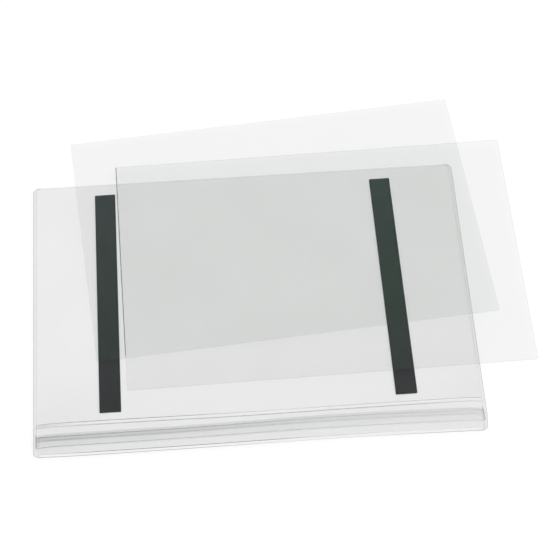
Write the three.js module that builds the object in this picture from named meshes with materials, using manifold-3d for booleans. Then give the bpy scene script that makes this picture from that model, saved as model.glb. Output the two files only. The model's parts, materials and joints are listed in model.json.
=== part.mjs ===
// Clear display pocket with two magnet strips on its back, a press-seal mouth along its lower long edge,
// and two loose clear insert sheets lying fanned on its face. Millimetres, +Z up, lying on its strips.
// The origin is the middle of the pocket, on the plane that the backs of the magnet strips share.
import * as THREE from 'three';
import { mergeVertices } from 'three/addons/utils/BufferGeometryUtils.js';
import Module from 'manifold-3d';

// Pocket
const pocketWidth = 322;
const pocketHeight = 247;
const cornerRadius = 4;
const filmThickness = 0.4;
const pocketGap = 0.8;
const sideSeamWidth = 3;
const topSeamWidth = 1.2;
const seamEdgeThickness = 0.7;

// Closure band, measured up from the lower edge of the rear film
const lipSetback = 2;
const tapeSetback = 8;
const hingeHeight = 24.7;
const bandWeldWidth = 3.3;
const bandWeldCrown = 0.2;
const swellLength = 20;

// Press-seal profile
const tapeWidth = 9.2;
const tapeThickness = 0.4;
const trackWidth = 3.6;
const trackWall = 0.8;
const trackWallHeight = 0.8;
const trackCornerCut = 0.15;
const hookDepth = 0.15;
const hookHeight = 0.36;
const ribNeckWidth = 1;
const ribHeadHeight = 0.45;
const ribTipWidth = 0.7;
const ribBarbDrop = 0.15;
const crushedEndLength = 1.2;

// Magnet strips and their adhesive. Each strip is stuck on by hand, so the two places differ a little:
// how far in from its side of the pocket a strip's long edge lies, and its turn about its middle.
const magnetWidth = 15.5;
const magnetLength = 201;
const magnetThickness = 1.5;
const magnetCornerRadius = 0.6;
const magnetEdgeBevel = 0.15;
const leftMagnetPlace = { sideMargin: 47, turnDegrees: 0 };
const rightMagnetPlace = { sideMargin: 48.1, turnDegrees: 0.4 };
const magnetTopMargin = 9.5;
const adhesiveThickness = 0.2;
const adhesiveInset = 0.4;

// Insert sheets: size, then where each one's middle lies from the pocket's middle, and its turn
const sheetWidth = 297;
const sheetHeight = 210;
const sheetThickness = 0.3;
const lowerSheetPlace = { x: 24.4, y: 72.3, turnDegrees: 4.67 };
const upperSheetPlace = { x: 52.8, y: 35.8, turnDegrees: 1 };

// Clearances
const swingClearance = 0.3;
const sealClearance = 0.3;
const hookClearance = 0.2;
const restClearance = 0.3;

// Sizes that follow from those above
const innerWidth = pocketWidth - 2 * sideSeamWidth;
const standOff = magnetThickness + adhesiveThickness;
const trackHeight = tapeThickness + trackWallHeight;
const mouthGap = trackHeight + sealClearance + tapeThickness;
const mouthLift = mouthGap - pocketGap;
const weldTop = hingeHeight + bandWeldWidth;
const lipUnderside = filmThickness + mouthGap;
const lipFace = lipUnderside + filmThickness;
const stripLength = innerWidth - 2 * (crushedEndLength + swingClearance);

const wasm = await Module();
wasm.setup();

function toSolid(geometry) {
  const bare = geometry.clone();
  bare.deleteAttribute('normal');
  bare.deleteAttribute('uv');
  const merged = mergeVertices(bare, 1e-5);
  return new wasm.Manifold(new wasm.Mesh({
    numProp: 3,
    vertProperties: merged.attributes.position.array,
    triVerts: Uint32Array.from(merged.index.array),
  }));
}

function toGeometry(solid) {
  const mesh = solid.getMesh();
  const geometry = new THREE.BufferGeometry();
  geometry.setAttribute('position', new THREE.BufferAttribute(mesh.vertProperties, 3));
  geometry.setIndex(new THREE.BufferAttribute(mesh.triVerts, 1));
  geometry.computeVertexNormals();
  return geometry;
}

function roundedRectangle(width, height, radius) {
  const x = width / 2 - radius;
  const y = height / 2 - radius;
  const shape = new THREE.Shape();
  shape.absarc(x, y, radius, 0, Math.PI / 2);
  shape.absarc(-x, y, radius, Math.PI / 2, Math.PI);
  shape.absarc(-x, -y, radius, Math.PI, 1.5 * Math.PI);
  shape.absarc(x, -y, radius, 1.5 * Math.PI, 2 * Math.PI);
  return shape;
}

// A section drawn in depth and height, extruded along the width and centred on it.
function extrudeAcross(section, length) {
  const geometry = new THREE.ExtrudeGeometry(section, { depth: length, steps: 1, bevelEnabled: false });
  const sectionToWidth = new THREE.Matrix4().makeBasis(
    new THREE.Vector3(0, 1, 0),
    new THREE.Vector3(0, 0, 1),
    new THREE.Vector3(1, 0, 0),
  );
  return geometry.translate(0, 0, -length / 2).applyMatrix4(sectionToWidth);
}

function section(points) {
  return new THREE.Shape(points.map(([depth, height]) => new THREE.Vector2(depth, height)));
}

function plate(width, lowY, highY, lowZ, highZ) {
  return extrudeAcross(section([[lowY, lowZ], [highY, lowZ], [highY, highZ], [lowY, highZ]]), width);
}

// The pocket's outline with its rounded corners, as a prism that trims whatever reaches the edge.
function outlinePrism() {
  const prism = new THREE.ExtrudeGeometry(
    roundedRectangle(pocketWidth, pocketHeight, cornerRadius),
    { depth: 3 * lipFace, steps: 1, bevelEnabled: false, curveSegments: 8 },
  );
  return toSolid(prism.translate(0, pocketHeight / 2, -lipFace));
}

// How far the front film has risen at a distance above the lower edge: flat over the display area,
// then an easy swell up to the height that the closure needs.
function swell(y) {
  return mouthLift * (1 - THREE.MathUtils.smoothstep(y, weldTop, weldTop + swellLength));
}

// Points up the swell, from the weld to the flat display area.
function swellPoints(baseHeight) {
  const count = 10;
  return Array.from({ length: count + 1 }, (_, i) => {
    const y = weldTop + (swellLength * i) / count;
    return [y, baseHeight + swell(y)];
  });
}

function clearFilm(opacity) {
  return new THREE.MeshStandardMaterial({
    color: 0xe9ecec, roughness: 0.18, metalness: 0, transparent: true, opacity,
  });
}

function named(name, geometry, material) {
  const mesh = new THREE.Mesh(geometry, material);
  mesh.name = name;
  return mesh;
}

function rearPanel() {
  const film = toSolid(plate(innerWidth, 0, pocketHeight - topSeamWidth, 0, filmThickness));
  return named('rear_panel', toGeometry(film.intersect(outlinePrism())), clearFilm(0.3));
}

function frontPanel() {
  const top = pocketHeight - topSeamWidth;
  const underside = filmThickness + pocketGap;
  const face = underside + filmThickness;
  const film = section([
    ...swellPoints(underside),
    [top, underside],
    [top, face],
    ...swellPoints(face).reverse(),
  ]);
  return named('front_panel', extrudeAcross(film, innerWidth), clearFilm(0.3));
}

// Presses the outer edge of a side seam thin, while its inner face keeps the full height of the films.
function pressOuterEdge(geometry) {
  const position = geometry.attributes.position;
  const insideTheEdge = pocketWidth / 2 - sideSeamWidth / 2;
  for (let i = 0; i < position.count; i += 1) {
    if (Math.abs(position.getX(i)) > insideTheEdge && position.getZ(i) > 0) {
      position.setZ(i, seamEdgeThickness);
    }
  }
  return geometry;
}

// A side seam closes the whole height of the pocket. The ends of the press seal are crushed into it.
function sideSeam(name, side) {
  const face = 2 * filmThickness + pocketGap;
  const bar = section([
    [0, 0],
    [pocketHeight, 0],
    [pocketHeight, face],
    ...swellPoints(face).reverse(),
    [0, lipFace],
  ]);
  const straightBar = extrudeAcross(bar, sideSeamWidth);
  straightBar.translate((side * (pocketWidth - sideSeamWidth)) / 2, 0, 0);
  const crushedEnd = plate(
    crushedEndLength, tapeSetback, tapeSetback + tapeWidth, filmThickness, lipUnderside - swingClearance,
  ).translate((side * (innerWidth - crushedEndLength)) / 2, 0, 0);
  const pressedBar = toSolid(pressOuterEdge(straightBar));
  const seam = pressedBar.add(toSolid(crushedEnd)).intersect(outlinePrism());
  return named(name, toGeometry(seam), clearFilm(0.5));
}

function topSeam() {
  const face = 2 * filmThickness + pocketGap;
  const bar = section([
    [pocketHeight - topSeamWidth, 0],
    [pocketHeight, 0],
    [pocketHeight, seamEdgeThickness],
    [pocketHeight - topSeamWidth, face],
  ]);
  const seam = toSolid(extrudeAcross(bar, innerWidth)).intersect(outlinePrism());
  return named('seam_top', toGeometry(seam), clearFilm(0.5));
}

// The weld between the front film and the closure band, with a low crown.
function bandWeld() {
  const shape = new THREE.Shape();
  shape.moveTo(hingeHeight, lipUnderside);
  shape.lineTo(weldTop, lipUnderside);
  shape.lineTo(weldTop, lipFace);
  shape.quadraticCurveTo(hingeHeight + bandWeldWidth / 2, lipFace + 2 * bandWeldCrown, hingeHeight, lipFace);
  return named('band_weld', extrudeAcross(shape, innerWidth), clearFilm(0.5));
}

// The rear half of the press seal: a flat tape with two hooked walls along its upper edge.
function grooveStrip() {
  const low = tapeWidth - trackWidth;
  const floor = tapeThickness;
  const hookBase = trackHeight - hookHeight;
  const hookNose = trackHeight - hookHeight / 2;
  const strip = section([
    [0, 0],
    [tapeWidth, 0],
    [tapeWidth, trackHeight - trackCornerCut],
    [tapeWidth - trackCornerCut, trackHeight],
    [tapeWidth - trackWall, trackHeight],
    [tapeWidth - trackWall - hookDepth, hookNose],
    [tapeWidth - trackWall, hookBase],
    [tapeWidth - trackWall, floor],
    [low + trackWall, floor],
    [low + trackWall, hookBase],
    [low + trackWall + hookDepth, hookNose],
    [low + trackWall, trackHeight],
    [low + trackCornerCut, trackHeight],
    [low, trackHeight - trackCornerCut],
    [low, floor],
    [0, floor],
  ]);
  const mesh = named('zip_groove_strip', extrudeAcross(strip, stripLength), clearFilm(0.6));
  mesh.position.set(0, tapeSetback, filmThickness);
  return mesh;
}

// The front half of the press seal: a tape under the lip with an arrow-headed rib that hangs in the groove.
function ribStrip() {
  const middle = tapeWidth - trackWidth / 2;
  const headWidth = trackWidth - 2 * (trackWall + hookDepth + hookClearance);
  const ribLength = trackWallHeight;
  const headTop = -tapeThickness - ribLength + ribHeadHeight;
  const tip = -tapeThickness - ribLength;
  const strip = section([
    [0, 0],
    [0, -tapeThickness],
    [middle - ribNeckWidth / 2, -tapeThickness],
    [middle - ribNeckWidth / 2, headTop],
    [middle - headWidth / 2, headTop - ribBarbDrop],
    [middle - ribTipWidth / 2, tip],
    [middle + ribTipWidth / 2, tip],
    [middle + headWidth / 2, headTop - ribBarbDrop],
    [middle + ribNeckWidth / 2, headTop],
    [middle + ribNeckWidth / 2, -tapeThickness],
    [tapeWidth, -tapeThickness],
    [tapeWidth, 0],
  ]);
  return named('zip_rib_strip', extrudeAcross(strip, stripLength), clearFilm(0.6));
}

// The lip turns about the lower edge of the band weld, at the outer face of the film.
function lip() {
  const hinged = new THREE.Group();
  hinged.position.set(0, hingeHeight, lipFace);
  const width = innerWidth - 2 * swingClearance;
  const film = plate(width, lipSetback - hingeHeight, -swingClearance, -filmThickness, 0);
  const rib = ribStrip();
  rib.position.set(0, tapeSetback - hingeHeight, -filmThickness);
  hinged.add(named('front_lip', film, clearFilm(0.3)), rib);
  return hinged;
}

function pocket() {
  const group = new THREE.Group();
  group.position.set(0, -pocketHeight / 2, standOff);
  group.add(
    rearPanel(),
    frontPanel(),
    sideSeam('seam_left', -1),
    sideSeam('seam_right', 1),
    topSeam(),
    bandWeld(),
    grooveStrip(),
    lip(),
  );
  return group;
}

// A flexible magnet strip with its adhesive layer, lengthwise up the back of the pocket.
function magnet(sideName, side, place) {
  const group = new THREE.Group();
  group.position.set(
    side * (pocketWidth / 2 - place.sideMargin - magnetWidth / 2),
    pocketHeight / 2 - magnetTopMargin - magnetLength / 2,
    0,
  );
  group.rotation.z = THREE.MathUtils.degToRad(place.turnDegrees);
  const outline = roundedRectangle(
    magnetWidth - 2 * magnetEdgeBevel, magnetLength - 2 * magnetEdgeBevel, magnetCornerRadius,
  );
  const body = new THREE.ExtrudeGeometry(outline, {
    depth: magnetThickness - 2 * magnetEdgeBevel,
    steps: 1,
    bevelEnabled: true,
    bevelThickness: magnetEdgeBevel,
    bevelSize: magnetEdgeBevel,
    bevelSegments: 1,
    curveSegments: 4,
  }).translate(0, 0, magnetEdgeBevel);
  const black = new THREE.MeshStandardMaterial({ color: 0x343a3c, roughness: 0.75, metalness: 0 });
  const layer = new THREE.BoxGeometry(
    magnetWidth - 2 * adhesiveInset, magnetLength - 2 * adhesiveInset, adhesiveThickness,
  );
  const glue = new THREE.MeshStandardMaterial({ color: 0x3c4244, roughness: 0.4, metalness: 0 });
  const adhesive = named(`magnet_adhesive_${sideName}`, layer, glue);
  adhesive.position.z = magnetThickness + adhesiveThickness / 2;
  group.add(named(`magnet_strip_${sideName}`, body, black), adhesive);
  return group;
}

// The height at which a turned sheet lies clear of the front film under its lowest corner.
function restHeight(place) {
  const turn = THREE.MathUtils.degToRad(place.turnDegrees);
  const reach = (Math.cos(turn) * sheetHeight + Math.abs(Math.sin(turn)) * sheetWidth) / 2;
  const lowestCorner = place.y - reach + pocketHeight / 2;
  const flatFace = standOff + 2 * filmThickness + pocketGap;
  return flatFace + swell(lowestCorner) + restClearance;
}

function insertSheet(name, place, underside) {
  const sheet = named(
    name,
    new THREE.BoxGeometry(sheetWidth, sheetHeight, sheetThickness),
    new THREE.MeshStandardMaterial({
      color: 0xe0e2e1, roughness: 0.3, metalness: 0, transparent: true, opacity: 0.35,
    }),
  );
  sheet.position.set(place.x, place.y, underside + sheetThickness / 2);
  sheet.rotation.z = THREE.MathUtils.degToRad(place.turnDegrees);
  return sheet;
}

function inserts() {
  const group = new THREE.Group();
  const lowerUnderside = restHeight(lowerSheetPlace);
  const upperUnderside = Math.max(
    lowerUnderside + sheetThickness + restClearance,
    restHeight(upperSheetPlace),
  );
  group.add(
    insertSheet('insert_sheet_lower', lowerSheetPlace, lowerUnderside),
    insertSheet('insert_sheet_upper', upperSheetPlace, upperUnderside),
  );
  return group;
}

const displayPocket = new THREE.Group();
displayPocket.add(
  pocket(),
  magnet('left', -1, leftMagnetPlace),
  magnet('right', 1, rightMagnetPlace),
  inserts(),
);

export default displayPocket;
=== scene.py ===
import json
import math

import bmesh
import bpy
from mathutils import Matrix, Vector, noise


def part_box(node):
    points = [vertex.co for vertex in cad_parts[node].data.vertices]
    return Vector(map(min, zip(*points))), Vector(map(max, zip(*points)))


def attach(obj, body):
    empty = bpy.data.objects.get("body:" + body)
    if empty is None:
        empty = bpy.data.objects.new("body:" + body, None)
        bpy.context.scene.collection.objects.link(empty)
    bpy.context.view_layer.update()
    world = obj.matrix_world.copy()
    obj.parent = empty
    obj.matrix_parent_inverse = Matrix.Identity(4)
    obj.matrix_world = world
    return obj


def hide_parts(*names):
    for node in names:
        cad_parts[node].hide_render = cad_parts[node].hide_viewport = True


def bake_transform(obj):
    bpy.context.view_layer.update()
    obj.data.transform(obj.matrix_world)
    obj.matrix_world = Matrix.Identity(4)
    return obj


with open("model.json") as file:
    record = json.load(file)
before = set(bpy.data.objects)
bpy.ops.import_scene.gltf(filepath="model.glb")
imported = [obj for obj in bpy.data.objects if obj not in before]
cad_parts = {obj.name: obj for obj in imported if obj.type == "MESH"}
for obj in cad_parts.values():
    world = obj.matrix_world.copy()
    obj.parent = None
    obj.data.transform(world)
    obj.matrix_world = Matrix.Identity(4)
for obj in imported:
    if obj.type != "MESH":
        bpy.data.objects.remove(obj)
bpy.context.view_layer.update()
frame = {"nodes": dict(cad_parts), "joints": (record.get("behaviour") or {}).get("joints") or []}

MM = 0.001

# Places that the frame gives, in metres
rear_low, rear_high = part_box("rear_panel")
front_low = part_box("front_panel")[0]
lip_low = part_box("front_lip")[0]
weld_low, weld_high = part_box("band_weld")
groove_low, groove_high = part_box("zip_groove_strip")
rib_low, rib_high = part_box("zip_rib_strip")
side_seam_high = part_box("seam_right")[1]
top_seam_low, top_seam_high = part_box("seam_top")

half_width = side_seam_high.x
side_seam_width = half_width - rear_high.x
seam_line = half_width - side_seam_width  # a side seam's inner line
mouth_edge = rear_low.y
top_edge = top_seam_high.y
hinge_line = weld_low.y

# Sizes of the dressed film
film_thickness = rear_high.z - rear_low.z
film_gap = 0.02 * MM  # keeps two surfaces that touch from lying in one plane
cut_edge = 0.4 * MM
corner_radius = 4.0 * MM
corner_draw = 0.8 * MM  # the right-hand corner of the mouth is drawn in this far
corner_draw_start = mouth_edge + 14 * MM
corner_draw_full = mouth_edge + 3 * MM
puff_width = 10.0 * MM  # the front rises from the seams over this width
swell_top = weld_high.y + 20 * MM  # the front film swells from here down to the weld
seam_base = rear_high.z - 0.35 * MM
pressed_height = rear_high.z + 0.1 * MM  # the front is pressed down to this at the seams
weld_bead = 0.45 * MM
weld_sink = 0.6 * MM
wave_height = 0.12 * MM

# Spacing of the meshes' points
mouth_step = 4 * MM
film_step = 5 * MM
wide_step = 8 * MM

# The press seal
tape_thickness = 0.4 * MM
track_width = 3.6 * MM
track_wall = 0.8 * MM
hook_depth = 0.15 * MM
hook_height = 0.36 * MM
rib_neck = 1.0 * MM
rib_head_width = 1.3 * MM
rib_tip_width = 0.7 * MM
rib_head_height = 0.45 * MM
crushed_share = 0.35  # of the zip's height is left where it is pressed into a side seam

# The gentle bow of the closure, which has sprung up right of its middle
bow_middle = 52.0 * MM
bow_spread = 87.0 * MM
bow_rise = 2.0 * MM
bow_draw = 0.6 * MM
bow_end = 50.0 * MM  # it dies away over this length at both sides
bow_edge_share = 0.5  # of it is left at the free edge

# The weld line sags a little left of the middle
sag_middle = -12.0 * MM
sag_spread = 60.0 * MM
sag_depth = 0.7 * MM
sag_reach = 12.0 * MM

# The lip droops to the rear film, and the free edge curls up, most of all at its left corner
lip_droop = 1.5 * MM
mouth_curl = 0.55 * MM
curl_reach = 7 * MM
corner_curl = 0.7 * MM
corner_curl_start = -half_width + 24 * MM
corner_curl_full = -half_width + 4 * MM

# The lip stays fused to the seams at both ends, and opens over this length
fused_length = 42.0 * MM
fold_length = 1.4 * MM
mouth_split = seam_line - fused_length

# The three stretches of the mouth: name, from, to, and the side that is fused (0 for none)
mouth_spans = (
    ("left", -seam_line, -mouth_split, -1),
    ("middle", -mouth_split, mouth_split, 0),
    ("right", mouth_split, seam_line, 1),
)

# The loose sheets. A dark line runs down the upper one's left edge, from its top down to where the lower
# sheet ends beneath it: the cut edge, darkened by a painted shadow that this edge casts on the lower
# sheet.
sheet_width, sheet_height = 297 * MM, 210 * MM
shadow_line_width = 0.6 * MM
shadow_line_low = -73 * MM  # from the sheet's middle
shadow_line_fade = 3 * MM


def between(first, second, share):
    """first at share 0, second at share 1."""
    return first + (second - first) * share


def ease(start, end, value):
    """0 at start, 1 at end, smooth in between."""
    t = min(max((value - start) / (end - start), 0.0), 1.0)
    return t * t * (3.0 - 2.0 * t)


def hump(x, middle, spread):
    """A smooth hump along the mouth: 1 at its middle, dying away to both sides."""
    return math.exp(-(((x - middle) / spread) ** 2))


def steps(start, end, size):
    """Evenly spaced values from start to end, no further apart than size."""
    count = max(1, math.ceil(abs(end - start) / size))
    return [start + (end - start) * i / count for i in range(count + 1)]


def edged(start, end, size, margin=cut_edge):
    """Like steps, with one narrow step at each end for the cut edge."""
    return [start] + steps(start + margin, end - margin, size) + [end]


def wave(x, y, length, seed=0.0):
    """A slow unevenness of a film, never below zero."""
    return wave_height * (0.5 + 0.5 * noise.noise(Vector((x / length, y / length, seed))))


# How the closure lies
def bow(x, y):
    """How far the closure is drawn in and raised at a point."""
    ends = ease(half_width, half_width - bow_end, abs(x))
    near_zip = ease(hinge_line, groove_high.y, y)
    near_edge = 1.0 - (1.0 - bow_edge_share) * ease(groove_high.y, mouth_edge, y)
    amount = hump(x, bow_middle, bow_spread) * ends * near_zip * near_edge
    return bow_draw * amount, bow_rise * amount


def sag(x, y):
    """How far the weld line hangs below a straight one."""
    near_weld = ease(sag_reach, 0, abs(y - hinge_line))
    return sag_depth * hump(x, sag_middle, sag_spread) * near_weld


def curl(x, y):
    """How far the mouth's free edge curls up."""
    at_corner = ease(corner_curl_start, corner_curl_full, x)
    near_edge = ease(mouth_edge + curl_reach, mouth_edge, y)
    return (mouth_curl + corner_curl * at_corner) * near_edge


def bowed(x, y, z):
    """Where a point of the straight pocket lies on the real one."""
    draw, rise = bow(x, y)
    return Vector((x, y + draw - sag(x, y), z + rise + curl(x, y)))


def settled(x):
    """0 where the front is pressed to a side seam, 1 where it has its full height."""
    return ease(seam_line, seam_line - puff_width, abs(x))


# Tone is how dark a point is drawn: 0 on plain film, and 1 on a full line of its material
def rear_edge_strength(x):
    """The rear film's cut edge shows dark at both ends, and faintly where the mouth bows up."""
    at_ends, at_bow = 1.05, 0.3
    return between(at_ends, at_bow, hump(x, middle=50 * MM, spread=70 * MM))


def lip_edge_strength(x):
    """The lip's cut edge shows dark left of the middle, where it lies close on the rear film."""
    everywhere = 0.1
    up_to_bow = 0.3 * ease(90 * MM, 50 * MM, x)
    left_of_middle = 0.95 * ease(-150 * MM, -105 * MM, x) * ease(40 * MM, 0, x)
    return everywhere + up_to_bow + left_of_middle


def zip_strength(x):
    """The zip is pressed hardest at its left end and least at its right."""
    hardest = 1.3
    to_the_right = 0.7 * ease(-140 * MM, 150 * MM, x)
    at_right_end = 0.15 * ease(110 * MM, 150 * MM, x)
    return hardest - to_the_right - at_right_end


def upper_weld_strength(x):
    """The weld's upper line is deepest left of the middle, and faintest just right of it."""
    everywhere = 0.8
    left_of_middle = 0.8 * ease(-10 * MM, -70 * MM, x)
    at_left_end = 0.6 * ease(-135 * MM, -150 * MM, x)
    right_of_middle = 0.4 * hump(x, middle=12 * MM, spread=28 * MM)
    return everywhere + left_of_middle - at_left_end - right_of_middle


def lower_weld_strength(x):
    """The weld's lower line is even, and fades towards both seams."""
    full, left_share, right_share = 1.3, 0.4, 0.5
    off_left = ease(-half_width, -half_width + 50 * MM, x)
    off_right = ease(half_width - 15 * MM, half_width - 55 * MM, x)
    return full * between(left_share, 1.0, off_left) * between(right_share, 1.0, off_right)


def closure_haze(x, y):
    """How cloudy the front film is: clear far up, hazier towards the closure and its two ends."""
    haze, haze_reach, more_at_ends = 0.038, 60 * MM, 0.8
    nearness = ease(hinge_line + haze_reach, hinge_line, y)
    at_ends = 1.0 + more_at_ends * ease(100 * MM, 150 * MM, abs(x))
    return haze * nearness * at_ends


# Meshes
def clear_walls(bm, layer, walls):
    """Cuts a piece's end walls loose and makes them clear, where it runs on into the next piece.

    With tone at -1, a film's material is fully clear.
    """
    rims = [edge for wall in walls for edge in wall.edges
            if any(face not in walls for face in edge.link_faces)]
    bmesh.ops.split_edges(bm, edges=rims)
    for wall in walls:
        for vertex in wall.verts:
            vertex[layer] = -1.0


def make_piece(name, bm):
    """Turns a bmesh into an object, smooth except where it folds sharply."""
    mesh = bpy.data.meshes.new(name)
    bm.to_mesh(mesh)
    bm.free()
    for polygon in mesh.polygons:
        polygon.use_smooth = True
    fold_angle = math.radians(30)
    mesh.set_sharp_from_angle(angle=fold_angle)
    piece = bpy.data.objects.new(name, mesh)
    bpy.context.scene.collection.objects.link(piece)
    return piece


def slab(name, us, vs, place, thickness, tone, clear_ends=False):
    """A thin closed film. place gives the lower face, and tone how dark each point is."""
    bm = bmesh.new()
    layer = bm.verts.layers.float.new("tone")
    faces = []
    for lift in (0.0, thickness):
        rows = []
        for v in vs:
            row = []
            for u in us:
                vertex = bm.verts.new(place(u, v) + Vector((0, 0, lift)))
                vertex[layer] = tone(u, v)
                row.append(vertex)
            rows.append(row)
        faces.append(rows)
    lower, upper = faces
    walls = []
    for j in range(len(vs) - 1):
        for i in range(len(us) - 1):
            bm.faces.new((upper[j][i], upper[j][i + 1], upper[j + 1][i + 1], upper[j + 1][i]))
            bm.faces.new((lower[j][i], lower[j + 1][i], lower[j + 1][i + 1], lower[j][i + 1]))
        walls.append(bm.faces.new((lower[j + 1][0], lower[j][0], upper[j][0], upper[j + 1][0])))
        walls.append(bm.faces.new((lower[j][-1], lower[j + 1][-1], upper[j + 1][-1], upper[j][-1])))
    for i in range(len(us) - 1):
        bm.faces.new((lower[0][i], lower[0][i + 1], upper[0][i + 1], upper[0][i]))
        bm.faces.new((lower[-1][i + 1], lower[-1][i], upper[-1][i], upper[-1][i + 1]))
    if clear_ends:
        clear_walls(bm, layer, walls)
    return make_piece(name, bm)


def sweep(name, section, stations, place, tone=None, clear_ends=False):
    """A closed bar: section is a loop of (across, up, dark), carried along the stations.

    tone gives what each point's dark is multiplied by, from its station and its place across.
    """
    bm = bmesh.new()
    layer = bm.verts.layers.float.new("tone")
    loops = []
    for station in stations:
        loop = []
        for across, up, dark in section:
            vertex = bm.verts.new(place(station, across, up))
            vertex[layer] = dark * (tone(station, across) if tone else 1.0)
            loop.append(vertex)
        loops.append(loop)
    for first, second in zip(loops, loops[1:]):
        for i in range(len(section)):
            j = (i + 1) % len(section)
            bm.faces.new((first[i], first[j], second[j], second[i]))
    walls = [bm.faces.new(reversed(loops[0])), bm.faces.new(loops[-1])]
    bmesh.ops.recalc_face_normals(bm, faces=bm.faces)
    if clear_ends:
        clear_walls(bm, layer, walls)
    return make_piece(name, bm)


# Materials
def new_material(name):
    """A new material, with its node tree and its shader."""
    material = bpy.data.materials.new(name)
    material.use_nodes = True
    tree = material.node_tree
    return material, tree, tree.nodes["Principled BSDF"]


def math_node(tree, operation, *values):
    """A math node on up to three values, each of them a number or another node's output."""
    node = tree.nodes.new("ShaderNodeMath")
    node.operation = operation
    for socket, value in zip(node.inputs, values):
        if isinstance(value, (int, float)):
            socket.default_value = value
        else:
            tree.links.new(value, socket)
    return node.outputs[0]


def noise_node(tree, scale, detail=3.0, stretch=(1, 1, 1)):
    """Noise with scale waves to the metre, times stretch along each axis."""
    place = tree.nodes.new("ShaderNodeTexCoord")
    mapping = tree.nodes.new("ShaderNodeMapping")
    mapping.inputs["Scale"].default_value = stretch
    texture = tree.nodes.new("ShaderNodeTexNoise")
    texture.inputs["Scale"].default_value = scale
    texture.inputs["Detail"].default_value = detail
    tree.links.new(place.outputs["Object"], mapping.inputs["Vector"])
    tree.links.new(mapping.outputs["Vector"], texture.inputs["Vector"])
    return texture.outputs["Fac"]


def ramp_node(tree, factor, dark, light):
    """A colour ramp between two stops, each a position and a colour."""
    ramp = tree.nodes.new("ShaderNodeValToRGB")
    for element, (position, color) in zip(ramp.color_ramp.elements, (dark, light)):
        element.position = position
        element.color = (*color, 1)
    tree.links.new(factor, ramp.inputs["Fac"])
    return ramp.outputs["Color"]


def add_bump(tree, shader, height, strength, distance):
    """Fine relief that follows a pattern's height, up to distance in metres."""
    bump = tree.nodes.new("ShaderNodeBump")
    bump.inputs["Strength"].default_value = strength
    bump.inputs["Distance"].default_value = distance
    tree.links.new(height, bump.inputs["Height"])
    tree.links.new(bump.outputs["Normal"], shader.inputs["Normal"])


def film_material(name, color, tint, line, cloud=0.25, roughness=0.16, ribbed=False):
    """Clear film, made as a dark veil: alpha is the share of light that each of its faces keeps back.

    That is tint on plain film, made uneven by cloud. The tone attribute adds a share of line at edges and
    welds, or takes everything away at -1, and a low angle adds gloss. Ribbed film is grained along X.
    """
    gloss, gloss_power = 0.2, 5
    rough_spread = 0.12
    material, tree, shader = new_material(name)
    shader.inputs["Base Color"].default_value = (*color, 1)
    shader.inputs["IOR"].default_value = 1.46
    uneven = math_node(tree, "SUBTRACT", noise_node(tree, scale=16), 0.5)
    tinted = math_node(tree, "MULTIPLY_ADD", uneven, tint * cloud, tint)
    tone = tree.nodes.new("ShaderNodeAttribute")
    tone.attribute_name = "tone"
    marked = math_node(tree, "MULTIPLY", tone.outputs["Fac"], line)
    angle = tree.nodes.new("ShaderNodeLayerWeight")
    shine = math_node(tree, "POWER", angle.outputs["Facing"], gloss_power)
    shine = math_node(tree, "MULTIPLY", shine, gloss)
    alpha = math_node(tree, "ADD", tinted, marked)
    alpha = math_node(tree, "ADD", alpha, shine)
    alpha.node.use_clamp = True
    tree.links.new(alpha, shader.inputs["Alpha"])
    smears = noise_node(tree, scale=60)
    rough = math_node(tree, "MULTIPLY_ADD", smears, rough_spread, roughness - rough_spread / 2)
    tree.links.new(rough, shader.inputs["Roughness"])
    if ribbed:
        grain = noise_node(tree, scale=1.0, detail=2, stretch=(40, 1500, 40))
    else:
        grain = noise_node(tree, scale=45)
    add_bump(tree, shader, grain, strength=0.35, distance=0.2 * MM)
    return material


def magnet_material():
    """Matte black flexible magnet, drawn with fine lengthwise lines, slightly dusty."""
    dark = (0.3, (0.016, 0.021, 0.024))
    light = (0.75, (0.032, 0.040, 0.044))
    lines_share, dust_share = 0.6, 0.4
    rough_low, rough_spread = 0.55, 0.2
    material, tree, shader = new_material("magnet_black")
    lines = noise_node(tree, scale=1.0, detail=4, stretch=(2600, 12, 2600))
    dust = noise_node(tree, scale=220, detail=4)
    mixed = math_node(tree, "MULTIPLY", lines, lines_share)
    mixed = math_node(tree, "MULTIPLY_ADD", dust, dust_share, mixed)
    color = ramp_node(tree, mixed, dark, light)
    tree.links.new(color, shader.inputs["Base Color"])
    rough = math_node(tree, "MULTIPLY_ADD", dust, rough_spread, rough_low)
    tree.links.new(rough, shader.inputs["Roughness"])
    add_bump(tree, shader, lines, strength=0.5, distance=0.08 * MM)
    return material


def adhesive_material():
    """Thin tacky adhesive, mottled where it has wetted the film, and darker towards the mouth: a painted
    fall-off of its sheen and of the light on it.
    """
    dark = (0.35, (0.024, 0.030, 0.034))
    light = (0.7, (0.033, 0.041, 0.045))
    at_mouth, at_top = 0.3, 1.05
    rough_low, rough_spread = 0.4, 0.25
    material, tree, shader = new_material("adhesive_dark")
    mottle = noise_node(tree, scale=140, detail=5)
    color = ramp_node(tree, mottle, dark, light)
    place = tree.nodes.new("ShaderNodeTexCoord")
    split = tree.nodes.new("ShaderNodeSeparateXYZ")
    tree.links.new(place.outputs["Generated"], split.inputs[0])
    # Painted sheen and light: the colour is scaled from dark at the mouth to light at the top
    painted_sheen_falloff = math_node(tree, "MULTIPLY_ADD", split.outputs["Y"], at_top - at_mouth, at_mouth)
    shaded = tree.nodes.new("ShaderNodeVectorMath")
    shaded.operation = "SCALE"
    tree.links.new(color, shaded.inputs[0])
    tree.links.new(painted_sheen_falloff, shaded.inputs["Scale"])
    tree.links.new(shaded.outputs[0], shader.inputs["Base Color"])
    specks = noise_node(tree, scale=300)
    rough = math_node(tree, "MULTIPLY_ADD", specks, rough_spread, rough_low)
    tree.links.new(rough, shader.inputs["Roughness"])
    return material


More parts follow.
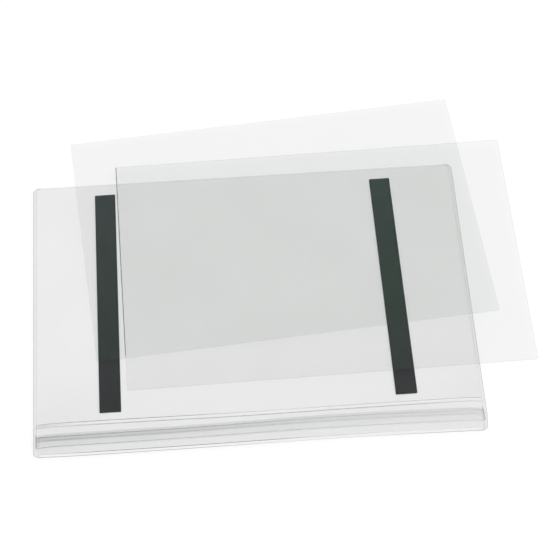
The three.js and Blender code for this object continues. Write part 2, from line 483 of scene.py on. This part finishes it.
film_grey = (0.05, 0.055, 0.056)
zip_grey = (0.01, 0.07, 0.066)
insert_grey = (0.03, 0.09, 0.045)
clear_film = film_material("clear_film", film_grey, tint=0.039, line=0.4)
lip_film = film_material("lip_film", film_grey, tint=0.05, line=0.5)
welded_film = film_material("welded_film", film_grey, tint=0.04, line=0.32, cloud=0.4)
zip_film = film_material("zip_film", zip_grey, tint=0.012, line=0.22, ribbed=True)
insert_film = film_material("insert_film", insert_grey, tint=0.051, line=0.5, cloud=0.15, roughness=0.24)


def dress(obj, material, node, body=None):
    """Gives a piece its material, hides the CAD part of the node that it stands for, and attaches it to
    its body.

    The mouth's pieces get no body here.
    """
    obj.data.materials.append(material)
    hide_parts(node)
    if body:
        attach(obj, body)


# Pocket films
def corner_inset(y):
    """How far the rounded corners draw the outline in at this height."""
    from_end = min(y - mouth_edge, top_edge - y)
    if from_end >= corner_radius:
        return 0.0
    return corner_radius - math.sqrt(max(corner_radius**2 - (corner_radius - from_end) ** 2, 0.0))


def corner_steps(start, end):
    """Steps along the outline's height, close together at the rounded corners."""
    angles = (0, 25, 45, 60, 75, 90)
    rises = [corner_radius * (1 - math.cos(math.radians(angle))) for angle in angles]
    low = [mouth_edge + rise for rise in rises]
    high = [top_edge - rise for rise in reversed(rises)]
    middle = steps(low[-1], high[0], film_step)
    inside = [y for y in low + middle[1:-1] + high if start < y < end]
    return [start] + inside + [end]


def outline_place(x, y, z):
    """Narrows the film at its rounded corners, and draws the mouth's right-hand one in a little."""
    reach = half_width - corner_inset(y)
    if x > 0:
        reach -= corner_draw * ease(corner_draw_start, corner_draw_full, y)
    return bowed(x * reach / half_width, y, z)


def rear_place(x, y):
    return outline_place(x, y, rear_low.z + film_gap)


def rear_tone(x, y):
    """Dark along its cut edges, and slightly hazy right of the middle where it reaches past the lip."""
    side_strength, haze = 0.3, 0.05
    if abs(x) > half_width - 0.5 * cut_edge:
        return side_strength
    if y < mouth_edge + 0.5 * cut_edge:
        return rear_edge_strength(x)
    past_lip = ease(lip_low.y + 0.5 * MM, lip_low.y - 0.5 * MM, y)
    return haze * past_lip * ease(0, 50 * MM, x)


def rear_film():
    xs = edged(-half_width, half_width, wide_step)
    ys = corner_steps(mouth_edge, top_edge)
    ys.insert(1, between(mouth_edge, ys[1], 0.4))  # keeps the dark line of the cut edge narrow
    film = slab("pocket_rear_film", xs, ys, rear_place, film_thickness - 2 * film_gap, rear_tone)
    dress(film, clear_film, "rear_panel", "pocket")


def front_height(x, y):
    """Lower face of the front film: pressed to the seams, swelling towards the closure."""
    swollen = lip_low.z - weld_sink
    height = between(front_low.z, swollen, ease(swell_top, hinge_line, y))
    from_top = ease(top_seam_low.y, top_seam_low.y - 0.6 * puff_width, y)
    return between(pressed_height, height, min(settled(x), from_top))


def front_place(x, y):
    return bowed(x, y, front_height(x, y) + wave(x, y, length=70 * MM))


def front_film():
    margin = 1.5 * MM
    xs = edged(-seam_line, seam_line, film_step, margin)
    ys = edged(weld_high.y, top_seam_low.y, film_step, margin)
    film = slab("pocket_front_film", xs, ys, front_place, film_thickness, closure_haze)
    dress(film, clear_film, "front_panel", "pocket")


def seam_section(width):
    """A pressed weld: a dark outer edge and a faint line where the two films part."""
    thick, ridge = 0.75 * MM, 0.1 * MM
    shoulder_start, shoulder_end = 0.35 * MM, 0.6 * MM
    line_start, line_end = width - 0.9 * MM, width - 0.66 * MM
    line_slope = 0.18 * MM
    line_dark = 0.35
    return [
        (0.0, 0.0, 0.2),
        (0.0, thick * 0.6, 1.0),
        (shoulder_start, thick, 0.5),
        (shoulder_end, thick, 0.0),
        (line_start - line_slope, thick, 0.0),
        (line_start, thick + ridge, line_dark),
        (line_end, thick + ridge, line_dark),
        (line_end + line_slope, thick, 0.0),
        (width, thick, 0.0),
        (width, 0.0, 0.0),
    ]


def side_seam(name, side, node, crease):
    """A side seam. Its inner line is creased dark beside the weld, and faint below the zip."""
    margin = 2 * MM

    def place(y, across, up):
        return outline_place(side * (half_width - across), y, seam_base + up)

    def tone(y, across):
        if across < side_seam_width / 2:
            return 1.0
        above, below = weld_high.y + margin, weld_low.y - margin
        beside_weld = crease * ease(above, weld_high.y, y) * ease(below, weld_low.y, y)
        below_zip = 0.5 * ease(groove_low.y, groove_low.y - margin, y)
        return 1.0 + beside_weld - below_zip

    closure_low, closure_high = groove_low.y - margin, weld_high.y + margin
    stations = corner_steps(mouth_edge, closure_low)
    stations += steps(closure_low, closure_high, 1 * MM)[1:]
    stations += corner_steps(closure_high, top_edge)[1:]
    seam = sweep(name, seam_section(side_seam_width), stations, place, tone)
    dress(seam, welded_film, node, "pocket")


def top_seam():
    """The narrow seam along the top, far fainter than the side seams."""
    faintness = 0.15
    width = top_seam_high.y - top_seam_low.y
    reach = seam_line - 0.3 * MM  # just short of the side seams

    def place(x, across, up):
        return Vector((x, top_edge - across, seam_base + up))

    section = [(across, up, dark * faintness) for across, up, dark in seam_section(width)]
    seam = sweep("top_weld", section, steps(-reach, reach, 20 * MM), place)
    dress(seam, welded_film, "seam_top", "pocket")


def band_weld():
    """The weld across the front: two pressed lines with plain film between."""
    low, high = weld_low.y, weld_high.y
    base = weld_low.z - weld_sink - film_gap
    top = base + 0.5 * MM
    ridge, dip = top + 0.1 * MM, top - 0.05 * MM
    line_slope = 1.4 * weld_bead
    section = [
        (low, base, 0.4),
        (low, top, 0.9),
        (low + weld_bead, ridge, 0.9),
        (low + line_slope, dip, 0.6),
        (high - line_slope, dip, 0.6),
        (high - weld_bead, ridge, 0.9),
        (high, top, 0.9),
        (high, base, 0.4),
        (high - weld_bead, base, 0.0),
        (low + weld_bead, base, 0.0),
    ]

    def place(x, y, z):
        sink = front_height(x, y) - front_height(0, y)
        return bowed(x, y, z + sink)

    def tone(x, y):
        """Both lines have their own strength. The film between is hazy only beside the left seam."""
        if min(y - low, high - y) > 1.2 * weld_bead:
            return ease(-half_width + 35 * MM, -half_width + 5 * MM, x)
        return upper_weld_strength(x) if y > (low + high) / 2 else lower_weld_strength(x)

    weld = sweep("closure_weld", section, steps(-seam_line, seam_line, mouth_step), place, tone)
    dress(weld, welded_film, "band_weld", "pocket")


# The mouth
def lip_height(y):
    """The lip is low at the weld, rides over the zip, and droops to the rear film at its free edge."""
    rise = weld_sink * ease(groove_high.y, hinge_line, y)
    droop = lip_droop * ease(groove_low.y + 1 * MM, lip_low.y, y)
    return lip_low.z - rise - droop


def lip_place(x, y):
    return bowed(x, y, between(pressed_height, lip_height(y), settled(x)))


def lip_tone(x, y):
    """Dark along its cut edge, darker below the zip, and hazy in a narrow strip above it."""
    if y < lip_low.y + 0.5 * cut_edge:
        return lip_edge_strength(x)
    below_zip = 0.025 * ease(groove_low.y + 1 * MM, groove_low.y - 1 * MM, y)
    strip_low, strip_high = groove_high.y, groove_high.y + 1.5 * MM
    in_strip = 0.21 * ease(strip_high + 0.4 * MM, strip_high - 0.2 * MM, y)
    in_strip *= ease(strip_low - 0.3 * MM, strip_low, y)
    at_left = 0.02 * ease(-100 * MM, -150 * MM, x)
    return below_zip + in_strip + at_left


def bend_mouth(piece, side):
    """Bakes the piece's place into its mesh. The fold line's ends are worked out, at the weld for the
    middle and from the seam to where the middle begins for the ends, but the piece is not folded or
    opened here.
    """
    if side:
        start, end = (side * seam_line, hinge_line, 0), (side * mouth_split, hinge_line, 0)
    else:
        start, end = (0, hinge_line, 0), (0, hinge_line - fold_length, 0)
    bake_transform(piece)
    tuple(start)
    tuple(end)


def front_lip():
    fold_end = hinge_line - fold_length
    fold = steps(hinge_line, fold_end, fold_length / 4)
    rest = steps(fold_end, lip_low.y + cut_edge, 0.5 * MM)
    ys = list(reversed(fold + rest[1:] + [lip_low.y]))
    for span, start, end, side in mouth_spans:
        xs = steps(start, end, mouth_step)
        film = slab("mouth_lip_" + span, xs, ys, lip_place, film_thickness, lip_tone, clear_ends=True)
        dress(film, lip_film, "front_lip")
        bend_mouth(film, side)


def groove_section():
    """The rear tape and its track: a channel with a hook inside each wall, near the tape's upper edge."""
    front, back = groove_low.y, groove_high.y
    base, top = groove_low.z, groove_high.z
    floor = base + tape_thickness
    ledge = top - hook_height
    hook = ledge + 0.1 * MM
    near = back - track_width
    inner_near, inner_back = near + track_wall, back - track_wall
    return [
        (front, base, 0.1),
        (front + cut_edge, base, 0.05),
        (near, base, 0.05),
        (back, base, 0.5),
        (back, top, 1.3),
        (inner_back, top, 0.6),
        (inner_back - hook_depth, hook, 0.2),
        (inner_back, ledge, 0.1),
        (inner_back, floor, 0.3),
        (inner_near, floor, 0.3),
        (inner_near, ledge, 0.1),
        (inner_near + hook_depth, hook, 0.2),
        (inner_near, top, 0.6),
        (near, top, 1.0),
        (near, floor, 0.5),
        (near - 0.3 * MM, floor, 0.05),
        (front + cut_edge, floor, 0.05),
        (front, floor, 0.1),
    ]


def zip_place(x, y, z):
    """The zip is crushed towards the rear film where it runs into a side seam."""
    base = groove_low.z
    return bowed(x, y, base + (z - base) * between(crushed_share, 1.0, settled(x)))


def zip_tone(x, across):
    """The zip has one strength right across."""
    return zip_strength(x)


def zip_groove():
    stations = steps(-seam_line, seam_line, mouth_step)
    strip = sweep("zip_groove", groove_section(), stations, zip_place, zip_tone)
    dress(strip, zip_film, "zip_groove_strip", "pocket")


def rib_section():
    """The front tape and its rib: a neck with an arrow head, in the middle of the track."""
    front, back = rib_low.y, rib_high.y
    tape_top = rib_high.z - film_gap
    tape_base = tape_top - tape_thickness
    tape_edge = front + 2 * cut_edge
    middle = back - track_width / 2
    neck, head, tip = rib_neck / 2, rib_head_width / 2, rib_tip_width / 2
    bottom = rib_low.z
    shoulder = bottom + rib_head_height
    barb = shoulder - 0.1 * MM
    return [
        (front, tape_base, 0.8),
        (tape_edge, tape_base, 0.05),
        (middle - neck, tape_base, 0.1),
        (middle - neck, shoulder, 0.2),
        (middle - head, barb, 0.3),
        (middle - tip, bottom, 0.2),
        (middle + tip, bottom, 0.2),
        (middle + head, barb, 0.3),
        (middle + neck, shoulder, 0.2),
        (middle + neck, tape_base, 0.1),
        (back, tape_base, 0.5),
        (back, tape_top, 1.0),
        (back - cut_edge, tape_top, 0.05),
        (tape_edge, tape_top, 0.05),
        (front, tape_top, 1.1),
    ]


def zip_rib():
    for span, start, end, side in mouth_spans:
        stations = steps(start, end, mouth_step)
        strip = sweep("zip_rib_" + span, rib_section(), stations, zip_place, zip_tone, clear_ends=True)
        dress(strip, zip_film, "zip_rib_strip")
        bend_mouth(strip, side)


def crushed_zip_end(name, side, node, strength):
    """The flattened end of the zip, melted into the side seam, where it shows with this strength."""
    low, high = groove_low.y, groove_high.y
    base = rear_high.z + film_gap
    top = base + 0.85 * MM
    drop = 0.1 * MM
    slope = 0.6 * MM
    track = high - track_width
    section = [
        (low, base, 0.2),
        (high, base, 0.2),
        (high, top - 2 * drop, 1.2),
        (high - track_wall, top, 0.3),
        (track, top, 0.9),
        (track - slope, top - drop, 0.2),
        (low + slope, top - drop, 0.2),
        (low, top - 3 * drop, 0.7),
    ]

    def tone(x, y):
        """Inside the seam's inner line the zip's own end shows, so this piece is faint there."""
        return strength if abs(x) > seam_line else 0.1

    inner, outer = seam_line - 1.2 * MM, seam_line + 1.5 * MM
    end = sweep(name, section, steps(side * outer, side * inner, 0.25 * MM), bowed, tone)
    dress(end, welded_film, node, "pocket")


def crushed_bead(name, side, node, high, low, drift, reach, strength):
    """The ridge of film squeezed out beside the zip's end, from y = high down to y = low.

    drift gives how far its upper and its lower end lie outside the seam's inner line, and reach is half
    its width.
    """
    base = rear_high.z + 0.3 * MM
    height, crown = 0.5 * MM, 0.6 * reach
    section = [(-reach, 0.0, 0.4), (-crown, height, 1.0), (crown, height, 1.0), (reach, 0.0, 0.4)]

    def place(y, across, up):
        x = seam_line + between(*drift, (y - high) / (low - high)) + across
        return bowed(side * x, y, base + up)

    def tone(y, across):
        """The bead fades at both ends, and is darkest beside the zip's upper edge."""
        ends = ease(low, low + 1.5 * MM, y) * ease(high, high - 1.5 * MM, y)
        return strength * between(0.2, 1.0, ends) * (1.0 + 0.5 * hump(y, groove_high.y, 1.2 * MM))

    bead = sweep(name, section, steps(low, high, 0.5 * MM), place, tone)
    dress(bead, welded_film, node, "pocket")


# Loose sheets
def insert_sheet(name, node, body, joint, corner_lift, seed, edge_line, left_edge_and_shadow):
    """A cut sheet lying nearly flat: a slow wave, and corners that lift a little.

    left_edge_and_shadow is how dark its left edge is drawn, together with a painted shadow that this edge
    casts on the lower sheet, and edge_line how dark the other three.
    """
    low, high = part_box(node)
    middle = (low + high) / 2
    axis = next(j["axis"] for j in frame["joints"] if j["name"] == joint)
    up = Vector(axis).normalized()
    along = Vector((up.y, -up.x, 0))
    reach_u, reach_v = sheet_width / 2, sheet_height / 2

    def place(u, v):
        corner = (abs(u) / reach_u) ** 4 * (abs(v) / reach_v) ** 4
        point = middle + along * u + up * v
        point.z = low.z + wave(u, v, length=90 * MM, seed=seed) + corner_lift * corner
        return point

    def tone(u, v):
        # The left edge's dark line is the cut edge plus a painted shadow cast on the lower sheet; it
        # fades out where the lower sheet ends
        if u < -reach_u + 1.1 * shadow_line_width:
            return left_edge_and_shadow * ease(shadow_line_low - shadow_line_fade, shadow_line_low, v)
        at_edge = abs(v) > reach_v - 0.5 * cut_edge or u > reach_u - 0.5 * cut_edge
        return edge_line if at_edge else 0.0

    shadow_line_us = [-reach_u, -reach_u + shadow_line_width, -reach_u + 1.3 * shadow_line_width]
    us = shadow_line_us + edged(-reach_u, reach_u, wide_step)[2:]
    fade_vs = [shadow_line_low - shadow_line_fade, shadow_line_low - shadow_line_fade / 2, shadow_line_low]
    vs = sorted(edged(-reach_v, reach_v, wide_step) + fade_vs)
    sheet = slab(name, us, vs, place, high.z - low.z, tone)
    dress(sheet, insert_film, node, body)


# Magnets and their adhesive keep their own solids
def dress_magnets():
    magnet = magnet_material()
    adhesive = adhesive_material()
    for side in ("left", "right"):
        for node, material in (("magnet_strip_", magnet), ("magnet_adhesive_", adhesive)):
            obj = frame["nodes"][node + side]
            obj.data.materials.clear()
            obj.data.materials.append(material)


rear_film()
front_film()
side_seam("side_weld_left", -1, "seam_left", crease=3.5)
side_seam("side_weld_right", 1, "seam_right", crease=0.2)
top_seam()
band_weld()
zip_groove()
zip_rib()
front_lip()
crushed_zip_end("crushed_zip_left", -1, "seam_left", strength=0.45)
crushed_zip_end("crushed_zip_right", 1, "seam_right", strength=0.25)
crushed_bead(
    "crushed_bead_left", -1, "seam_left", high=-103.5 * MM, low=-115.9 * MM,
    drift=(0.95 * MM, 0.95 * MM), reach=0.65 * MM, strength=0.42)
crushed_bead(
    "crushed_bead_right", 1, "seam_right", high=-103.3 * MM, low=-115.3 * MM,
    drift=(0.1 * MM, 0.95 * MM), reach=0.32 * MM, strength=0.7)
insert_sheet(
    "loose_sheet_lower", "insert_sheet_lower", "lower_sheet", "lower_sheet_slide",
    corner_lift=0.05 * MM, seed=3.0, edge_line=0.08, left_edge_and_shadow=0.0)
insert_sheet(
    "loose_sheet_upper", "insert_sheet_upper", "upper_sheet", "upper_sheet_slide",
    corner_lift=0.1 * MM, seed=8.0, edge_line=0.2, left_edge_and_shadow=0.85)
dress_magnets()


# Floor, light and camera
def floor():
    """White floor. Where it is seen, three quarters of its white is its own, so shadows stay soft."""
    white, own_share = 0.97, 0.75
    bpy.ops.mesh.primitive_plane_add(size=12, location=(0, 0, -film_gap))
    plane = bpy.context.object
    plane.name = "studio_floor"
    material = bpy.data.materials.new("studio_white")
    material.use_nodes = True
    tree = material.node_tree
    tree.nodes.clear()
    output = tree.nodes.new("ShaderNodeOutputMaterial")
    diffuse = tree.nodes.new("ShaderNodeBsdfDiffuse")
    diffuse.inputs["Color"].default_value = (white, white, white, 1)
    glow = tree.nodes.new("ShaderNodeEmission")
    path = tree.nodes.new("ShaderNodeLightPath")
    seen = math_node(tree, "MAXIMUM", path.outputs["Is Camera Ray"], path.outputs["Is Glossy Ray"])
    seen = math_node(tree, "MAXIMUM", seen, path.outputs["Is Transmission Ray"])
    share = math_node(tree, "MULTIPLY", seen, own_share)
    mix = tree.nodes.new("ShaderNodeMixShader")
    tree.links.new(share, mix.inputs["Fac"])
    tree.links.new(diffuse.outputs[0], mix.inputs[1])
    tree.links.new(glow.outputs[0], mix.inputs[2])
    tree.links.new(mix.outputs[0], output.inputs["Surface"])
    plane.data.materials.append(material)


def light():
    """Even white light all round, and one large soft lamp high on the right."""
    world = bpy.data.worlds.new("studio")
    bpy.context.scene.world = world
    world.use_nodes = True
    background = world.node_tree.nodes["Background"]
    background.inputs["Color"].default_value = (1, 1, 1, 1)
    background.inputs["Strength"].default_value = 0.68
    lamp = bpy.data.lights.new("key", "AREA")
    lamp.shape = "DISK"
    lamp.size = 3.2
    lamp.energy = 350
    key = bpy.data.objects.new("key", lamp)
    bpy.context.scene.collection.objects.link(key)
    key.location = (5.0, 1.4, 5.2)
    key.rotation_euler = (-key.location).to_track_quat("-Z", "Y").to_euler()


def camera():
    """Stands where the photograph was taken from."""
    heading = math.radians(2.611)
    elevation = math.radians(52.484)
    roll = math.radians(-1.45)
    aim = Vector((22.2, 22.8, 0)) * MM
    distance = 1.697
    turn = (
        Matrix.Rotation(-heading, 4, "Z")
        @ Matrix.Rotation(math.pi / 2 - elevation, 4, "X")
        @ Matrix.Rotation(roll, 4, "Z")
    )
    data = bpy.data.cameras.new("camera")
    data.lens = 146.58
    data.sensor_width = 36
    obj = bpy.data.objects.new("camera", data)
    bpy.context.scene.collection.objects.link(obj)
    backward = turn @ Vector((0, 0, 1))
    obj.matrix_world = Matrix.Translation(aim + backward * distance) @ turn
    bpy.context.scene.camera = obj


floor()
light()
camera()
scene = bpy.context.scene
scene.view_settings.view_transform = "Standard"
scene.cycles.transparent_max_bounces = 32  # a ray crosses many thin films, each with two faces

bpy.context.view_layer.update()
